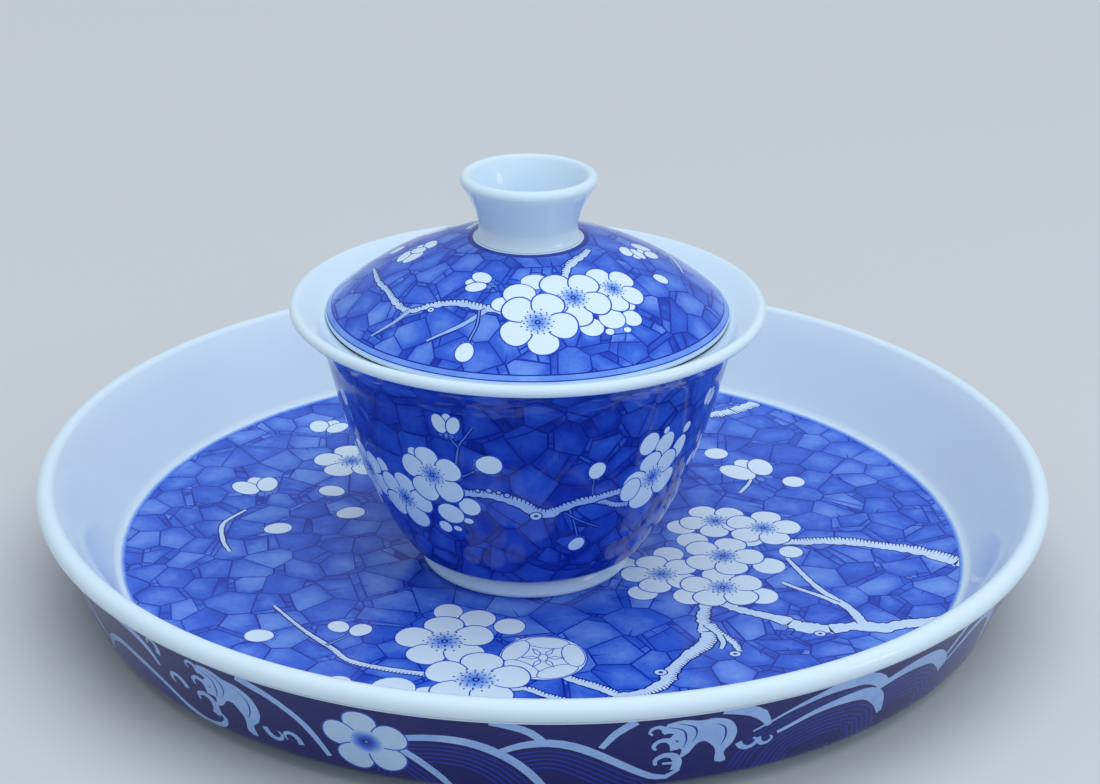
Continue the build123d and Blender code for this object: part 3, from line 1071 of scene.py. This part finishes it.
def crest(art, spot):
    """A breaking crest of foam with combed strands and claws."""
    body = ((-4.8, 5.6), (-1.9, 6.3), (1.5, 5.6), (4.4, 5.6), (7.4, 4.0), (8.9, 0.6), (8.4, -2.6),
            (7.0, -4.8), (7.6, -7.4), (5.6, -7.0), (5.2, -3.4), (3.0, -0.6), (1.4, -1.2), (0.5, -3.2),
            (-1.2, -4.6), (-1.0, -2.2), (-2.4, -1.2), (-2.0, 0.6), (-4.0, 0.9), (-3.2, 2.6), (-5.6, 3.2))
    rim = [spot(*p) for p in body]
    art.shape(smooth(rim + rim[:1], 0.9 * spot.scale)[:-1], FOAM_TINTED_AS_SHADE)
    for strand in (((-4.4, 4.6), (-1.6, 3.4), (-0.6, 0.8), (-0.8, -1.6)),
                   ((-2.6, 5.4), (0.4, 4.0), (1.2, 1.6), (0.6, -0.4)),
                   ((4.6, 4.0), (6.4, 2.4), (6.8, -0.4), (6.2, -2.8))):
        path = smooth([spot(*p) for p in strand], 0.9 * spot.scale)
        stroke(art, path, spot.scale * spread((0.12, 0.42, 0.12), len(path)), SEA_LINE)
    for x, y, size, lean in ((-4.6, -0.6, 3.6, 8), (-3.4, -5.2, 4.2, -10), (-6.4, 3.6, 2.8, 20),
                             (11.6, -4.0, 3.0, -160)):
        claw(art, spot.moved(x, y).turned(lean), size)


def surf(art):
    """A third of the sea that runs round the dish. Each wave stands in front of the one at its right."""
    wave(art, ((-39, 4), (-36.4, 9), (-34, 11.8), (-31.4, 11), (-29.6, 7.6)), (0.8, 1.4, 1.8, 1.6, 0.8))
    wave(art, ((-42, 12.8), (-40.4, 17), (-38.8, 21.6)), (0.9, 1.2, 1.5))
    art.add(claw, (-35, 17.6, -20, 3.4), (-31.6, 16, 20, 3.0, -1))
    wave(art, ((-68, 14.5), (-63.6, 18.6), (-59, 21), (-55, 20.6), (-52, 17), (-50.6, 12)),
         (0.5, 0.7, 1.6, 3.2, 2.8, 1.2), 5)
    wave(art, ((-57.4, 11.5), (-52.6, 16.2), (-48.4, 18.2), (-44, 17.4), (-41, 13), (-39.4, 7)),
         (0.9, 1.4, 2.2, 3.3, 3.3, 1.2), 6)
    wave(art, ((-65, 12.6), (-61, 15.6), (-57.2, 16.6), (-54, 15.8), (-51.8, 12.6), (-50.4, 8)),
         (0.9, 1.3, 2.0, 3.1, 3.2, 1.2), 6)
    wave(art, ((-72, 21.9), (-69.6, 21.2), (-67.6, 19), (-66.3, 15.4)), (1.4, 2.6, 2.4, 1.0))
    art.add(claw, (-66.2, 11.4, 190, 2.6))
    wave(art, ((-84, 15), (-82.6, 19), (-80.8, 21.9)), (1.2, 1.6, 1.9))
    wave(art, ((-94.8, 13.4), (-91.9, 16), (-89.2, 16.8), (-86.8, 15.8), (-84.6, 13.6), (-82.4, 10.8),
         (-80.2, 7.9), (-78.4, 5.8)), (1.2, 1.6, 2.0, 2.1, 2.0, 1.8, 1.6, 1.5), 5)
    wave(art, ((-78.6, 6), (-76.8, 5.2), (-75.6, 6.8), (-76, 9), (-77.4, 9.2)), (1.5, 1.4, 1.2, 0.9, 0.6))
    art.add(crest, (-75, 14.8, 0))
    wave(art, ((-95, 22), (-92.8, 21.2), (-91, 19.6), (-89.6, 16.8)), (1.2, 1.8, 1.8, 1.5))
    wave(art, ((-106, 14.2), (-103, 15.8), (-100.4, 16.5), (-97.6, 16.2), (-95, 14.4), (-92.5, 11),
         (-90.3, 6), (-89, 1)), (1.3, 1.6, 1.9, 2.1, 2.1, 1.9, 1.7, 1.5), 5)
    wave(art, ((-105.6, 14), (-102.8, 9.8), (-100.3, 5), (-98.8, 0)), (1.5, 1.7, 1.5, 1.3), 3)
    wave(art, ((-122, 21.9), (-118.4, 19), (-115.6, 15), (-114, 10.6), (-112.9, 6)),
         (2.2, 1.8, 1.6, 1.5, 1.1))
    art.add(claw, (-117.2, 8.4, 6, 3.0))
    wave(art, ((-150.5, 3), (-147.5, 9.6), (-144, 12.6), (-140.5, 12), (-136.5, 9.4), (-132.6, 5)),
         (0.8, 1.5, 1.9, 1.9, 1.6, 1.4), 4)
    wave(art, ((-132.8, 5.2), (-130, 3.6), (-127.4, 4.4), (-126.4, 7), (-127.6, 9)), (1.4, 1.4, 1.2, 0.5))
    wave(art, ((-160, 13), (-156.5, 18), (-153, 19.2), (-150.6, 15), (-149.6, 8)), (0.8, 1.8, 2.8, 2.6, 1.2),
         6)
    wave(art, ((-141.5, 21.8), (-138, 20.6), (-135.8, 17.6), (-135, 14.2)), (1.4, 2.2, 2.0, 0.9))
    art.add(claw, (-132.4, 12.6, 14, 3.4), (-134.5, 20, -30, 3.0))
    art.add(crest, (-125.6, 14.4, -14))
    # The wall's blossom has pale blue petals instead of bare glaze: painted shade on the dish's outer wall.
    art.add(blossom, (-108, 12.6, 6, 8.3), fine=False, tone=0.1, heart=0.75)


def paint_wall(patch, count):
    # The wall's ground is the darkest sea: partly its own cobalt and partly painted shade.
    art = Painting(patch, count, SEA_AND_PAINTED_SHADE)
    for art.turn in (0, 120, 240):
        surf(art)
    return art


# Pieces

def make_dish():
    turned = Turned(dish_outline(), ROUND_DISH)
    outline = turned.outline
    wall_start = outline.nearest(WALL_PAINT_START, DISH_UNDERSIDE)
    wall_top = outline.nearest(*DISH_WALL_TOP)
    floor_rim = outline.length - FLOOR_PAINT_END
    wall = paint_wall(Patch(outline, wall_start, wall_top), ROUND_DISH)
    floor = paint_floor(Patch(outline, outline.length, floor_rim, flat=True), ROUND_DISH)
    low, high = turned.painted(wall, rows_in((0, 0, 0.66, 0.33), wall_start, wall_top, 1, 4))
    _, edge = turned.painted(floor, disc_in((0, 0.34, 0.66, 1), outline.length, floor_rim))
    turned.plain(0, wall_start, (0.67, 0, 1, 0.3), last=low)
    turned.plain(wall_top, floor_rim, (0.67, 0.31, 1, 1), high, edge)
    return turned.build("dish", (0, 0, 0))


def make_bowl(place):
    outline = bowl_outline()
    turned = Turned(outline, ROUND_BOWL)
    start = outline.nearest(*BOWL_BASE)
    end = outline.nearest(*on_circle(*BOWL_LIP, BOWL_LIP_ARC[0]))
    art = paint_bowl(Patch(outline, start, end), ROUND_BOWL)
    low, high = turned.painted(art, rows_in((0, 0, 1, 0.84), start, end, 2, 2))
    turned.plain(0, start, (0, 0.85, 0.3, 1), last=low)
    turned.plain(end, outline.length, (0.31, 0.85, 1, 1), high)
    return turned.build("bowl", place)


def make_lid(place):
    outline = lid_outline()
    turned = Turned(outline, ROUND_BOWL)
    seat = outline.length - LID_SEAT_RADIUS
    edge = outline.nearest(*on_circle(*LID_EDGE, LID_PAINT_ANGLE))
    crown = disc_in((0, 0.13, 0.87, 1), outline.length, edge)
    inner, outer = turned.painted(paint_lid(Patch(outline, seat, edge), ROUND_BOWL), crown)
    turned.plain(0, edge, (0, 0, 1, 0.12), last=outer)
    turned.plain(seat, outline.length, None, inner, layout=crown)
    return turned.build("lid", place)


def make_ring(name, outline, place, count=ROUND_SMALL):
    """A closed ring with no painting."""
    turned = Turned(outline, count)
    start = turned.ring(0)
    turned.plain(0, outline.length, (0, 0, 1, 1), start, start)
    return turned.build(name, place)


# Materials

# Colour of the glaze over each pigment
GLAZE_COLOURS = (
    (0.0, (0.67, 0.81, 0.935)),
    (0.12, (0.44, 0.61, 0.89)),
    (0.3, (0.16, 0.325, 0.83)),
    (0.5, (0.032, 0.118, 0.67)),
    (0.7, (0.007, 0.034, 0.42)),
    (1.0, (0.0015, 0.005, 0.13)),
)


def new_material(name):
    """A material with its node tree and its shader."""
    material = bpy.data.materials.new(name)
    material.use_nodes = True
    return material, material.node_tree, material.node_tree.nodes["Principled BSDF"]


def glaze(name, painted):
    """Glazed porcelain, with cobalt under the glaze where the mesh carries pigment."""
    material, tree, shader = new_material(name)
    shader.inputs["IOR"].default_value = 1.4
    where = tree.nodes.new("ShaderNodeTexCoord").outputs["Object"]

    def feed(socket, value):
        if isinstance(value, (int, float)):
            socket.default_value = value
        else:
            tree.links.new(value, socket)

    def made(kind, **values):
        """A new node, with its inputs set or linked by name."""
        node = tree.nodes.new("ShaderNode" + kind)
        for key, value in values.items():
            feed(node.inputs[key.replace("_", " ")], value)
        return node

    def noise(scale, detail, roughness):
        return made("TexNoise", Vector=where, Scale=scale, Detail=detail, Roughness=roughness).outputs["Fac"]

    def maths(operation, a, b, clamp=False):
        node = tree.nodes.new("ShaderNodeMath")
        node.operation, node.use_clamp = operation, clamp
        feed(node.inputs[0], a)
        feed(node.inputs[1], b)
        return node.outputs[0]

    wash, grain = noise(170.0, 4.0, 0.6), noise(1100.0, 3.0, 0.6)
    soft, fine = maths("SUBTRACT", wash, 0.5), maths("SUBTRACT", grain, 0.5)
    mottle = maths("ADD", maths("MULTIPLY", soft, 0.55), maths("MULTIPLY", fine, 0.16))
    if painted:
        pigment = tree.nodes.new("ShaderNodeAttribute")
        pigment.attribute_name = "pigment"
        amount = pigment.outputs["Fac"]
        strength = maths("MULTIPLY", maths("MULTIPLY", amount, maths("SUBTRACT", 1.05, amount)), 1.9)
        tone = maths("ADD", amount, maths("MULTIPLY", mottle, maths("ADD", strength, 0.03)), True)
    else:
        tone = maths("MULTIPLY", maths("ADD", mottle, 0.1), 0.06, True)
    ramp = made("ValToRGB", Fac=tone)
    stops = ramp.color_ramp.elements
    for i, (place, colour) in enumerate(GLAZE_COLOURS):
        stop = stops[i] if i < len(stops) else stops.new(place)
        stop.position = place
        stop.color = (*colour, 1)
    feed(shader.inputs["Base Color"], ramp.outputs["Color"])
    rough = made("MapRange", Value=wash, From_Min=0.3, From_Max=0.7, To_Min=0.07, To_Max=0.13)
    feed(shader.inputs["Roughness"], rough.outputs["Result"])
    bump = made("Bump", Strength=0.18, Distance=0.00012, Height=noise(260.0, 2.0, 0.5))
    feed(shader.inputs["Normal"], bump.outputs["Normal"])
    return material


def paper(name, colour):
    """Plain backdrop paper."""
    material, _, shader = new_material(name)
    shader.inputs["Base Color"].default_value = (*colour, 1)
    shader.inputs["Roughness"].default_value = 0.85
    return material


# Stage

def make_camera():
    """Camera in front of the set, a little above it and looking down."""
    down, aside, tilt = radians(22.929), radians(0.162), radians(0.582)
    ahead = Vector((sin(aside) * cos(down), cos(aside) * cos(down), -sin(down)))
    right = ahead.cross(Vector((0, 0, 1))).normalized()
    up = right.cross(ahead)
    right, up = right * cos(tilt) + up * sin(tilt), up * cos(tilt) - right * sin(tilt)
    data = bpy.data.cameras.new("camera")
    data.lens = 75.77
    data.sensor_width = 36
    data.sensor_fit = "HORIZONTAL"
    camera = bpy.data.objects.new("camera", data)
    camera.matrix_world = Matrix((right, up, -ahead)).transposed().to_4x4()
    camera.location = (0, -0.44638, 0.22918)
    bpy.context.scene.collection.objects.link(camera)
    bpy.context.scene.camera = camera


def make_light(name, kind, place, power, colour, mirrored=False, **shape):
    """A light that stands at a place and shines at the set."""
    data = bpy.data.lights.new(name, kind)
    for key, value in dict(energy=power, color=colour, **shape).items():
        setattr(data, key, value)
    light = bpy.data.objects.new(name, data)
    light.location = place
    light.rotation_euler = (Vector((0, 0, 0.04)) - Vector(place)).to_track_quat("-Z", "Y").to_euler()
    light.visible_glossy = mirrored
    bpy.context.scene.collection.objects.link(light)


def make_stage():
    """Pale floor, pale surroundings and soft lights."""
    bpy.ops.mesh.primitive_plane_add(size=8, location=(0, 0, 0))
    floor = bpy.context.object
    floor.name = "floor"
    floor.data.materials.append(paper("paper", (0.58, 0.60, 0.63)))
    world = bpy.data.worlds.new("studio")
    world.use_nodes = True
    background = world.node_tree.nodes["Background"].inputs
    background["Color"].default_value = (0.82, 0.93, 1.0, 1)
    background["Strength"].default_value = 0.46
    bpy.context.scene.world = world
    make_light("overhead", "SUN", (0.1, -0.1, 1.0), 1.7, (0.97, 0.99, 1.0), angle=radians(70))
    make_light("front", "AREA", (0.3, -0.9, 0.8), 2.3, (0.86, 0.94, 1.0), shape="DISK", size=0.9)
    make_light("window", "AREA", (1.1, -0.35, 0.45), 0.9, (0.95, 0.98, 1.0), True, shape="DISK", size=0.3)
    bpy.context.scene.view_settings.view_transform = "Standard"


# The set

def dress(piece, body, slot, material, *nodes):
    """Gives a piece its material and its body, and hides the CAD nodes that it stands for."""
    piece.data.materials.append(material)
    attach(piece, body)
    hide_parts(*nodes)


make_camera()
make_stage()

painted_glaze = glaze("painted_glaze", True)
white_glaze = glaze("white_glaze", False)

# Centre of the bowl's foot on the dish's floor, and of the knob's foot on the lid, in metres
low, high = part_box("bowl_foot_ring")
on_dish = ((low.x + high.x) / 2, (low.y + high.y) / 2, low.z)
seat = (*on_dish[:2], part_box("lid_knob")[0].z)

dress(make_dish(), "dish", "painted_glaze", painted_glaze, "dish_body")
dress(make_ring("dish_foot", foot_outline(*DISH_FOOT), (0, 0, 0), ROUND_DISH), "dish", "white_glaze",
      white_glaze, "dish_foot_ring")
dress(make_bowl(on_dish), "bowl", "painted_glaze", painted_glaze, "bowl_body")
dress(make_ring("bowl_foot", foot_outline(*BOWL_FOOT), on_dish), "bowl", "white_glaze", white_glaze,
      "bowl_foot_ring")
dress(make_lid(on_dish), "lid", "painted_glaze", painted_glaze, "lid_dome")
dress(make_ring("knob", knob_outline(), seat), "lid", "white_glaze", white_glaze, "lid_knob")
